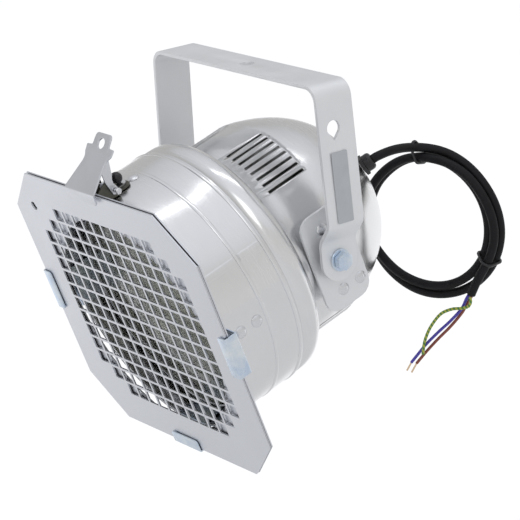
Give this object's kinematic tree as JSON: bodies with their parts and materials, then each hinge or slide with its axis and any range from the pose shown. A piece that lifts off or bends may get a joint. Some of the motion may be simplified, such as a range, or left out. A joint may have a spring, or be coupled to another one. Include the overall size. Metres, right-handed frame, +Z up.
{
  "type": "par can light",
  "caption": "Short spun-aluminium par can stage light in a hanging yoke, with a square guard frame, tilting can, sprung frame latch and a tied, bare-ended cable.",
  "frame": {"origin": "centre of the hanging hole, in the top face of the yoke", "axes": "+Z up through the hanging hole, +Y from the guard frame towards the rear dome, +X along the pivots to the can's right when the lamp faces the viewer"},
  "size_m": [0.26, 0.3291, 0.3013],
  "materials": {
    "polished_shell": "polished spun aluminium",
    "frame_sheet": "bright satin sheet",
    "yoke_metal": "pale satin strip",
    "zinc_steel": "bluish zinc plating",
    "rivet_steel": "bright plated steel",
    "black_plastic": "moulded, slightly glossy",
    "cable_rubber": "smooth matt sheath",
    "lamp_glass": "pressed, ribbed lens",
    "lamp_mirror": "silvered reflector",
    "ceramic": "unglazed",
    "brass": "plain",
    "label": "blank sticker",
    "wire_earth": "green and yellow insulation",
    "wire_blue": "insulation",
    "wire_brown": "insulation"
  },
  "bodies": {
    "yoke": {"yoke": "yoke_metal", "blank_label": "label", "pivot_bolt_left": "zinc_steel", "pivot_bolt_right": "zinc_steel", "pivot_washer_left": "zinc_steel", "pivot_washer_right": "zinc_steel"},
    "can": {"bracket_left": "yoke_metal", "bracket_left_rivet_1": "rivet_steel", "bracket_left_rivet_2": "rivet_steel", "bracket_left_rivet_3": "rivet_steel", "bracket_left_rivet_4": "rivet_steel", "bracket_right": "yoke_metal", "bracket_right_rivet_1": "rivet_steel", "bracket_right_rivet_2": "rivet_steel", "bracket_right_rivet_3": "rivet_steel", "bracket_right_rivet_4": "rivet_steel", "cable_coil": "cable_rubber", "cable_lead": "cable_rubber", "cable_tail": "cable_rubber", "cable_tie_1": "black_plastic", "cable_tie_2": "black_plastic", "clip_bottom": "zinc_steel", "clip_bottom_rivet_1": "rivet_steel", "clip_bottom_rivet_2": "rivet_steel", "clip_left": "zinc_steel", "clip_left_rivet_1": "rivet_steel", "clip_left_rivet_2": "rivet_steel", "clip_right": "zinc_steel", "clip_right_rivet_1": "rivet_steel", "clip_right_rivet_2": "rivet_steel", "frame_back_sheet": "frame_sheet", "frame_channel": "frame_sheet", "friction_washer_left": "black_plastic", "friction_washer_right": "black_plastic", "front_barrel": "polished_shell", "gland_body": "black_plastic", "gland_cap": "black_plastic", "gland_locknut": "black_plastic", "guard_sheet": "frame_sheet", "lamp_cap": "ceramic", "lamp_lens": "lamp_glass", "lamp_prong_1": "brass", "lamp_prong_2": "brass", "lamp_reflector": "lamp_mirror", "lamp_retaining_ring": "rivet_steel", "lamp_seat_ring": "frame_sheet", "lamp_socket": "ceramic", "latch_bracket": "frame_sheet", "latch_knob": "black_plastic", "latch_pin": "rivet_steel", "latch_spring": "rivet_steel", "latch_washer": "rivet_steel", "pivot_nut_left": "zinc_steel", "pivot_nut_right": "zinc_steel", "rear_housing": "polished_shell", "wire_blue": "wire_blue", "wire_brown": "wire_brown", "wire_earth": "wire_earth"},
    "latch": {"latch_flap": "frame_sheet"}
  },
  "joints": [
    {"name": "can_tilt", "type": "hinge", "parent": "yoke", "child": "can", "pos_m": [0, 0, -0.1426], "axis": [1, 0, 0], "range_deg": [-45, 50]},
    {"name": "latch_open", "type": "hinge", "parent": "can", "child": "latch", "pos_m": [0, -0.14315, -0.06819], "axis": [-1, 0, 0], "range_deg": [0, 70], "stiffness_Nm_per_rad": 0.05, "springref_deg": -17.19}
  ]
}
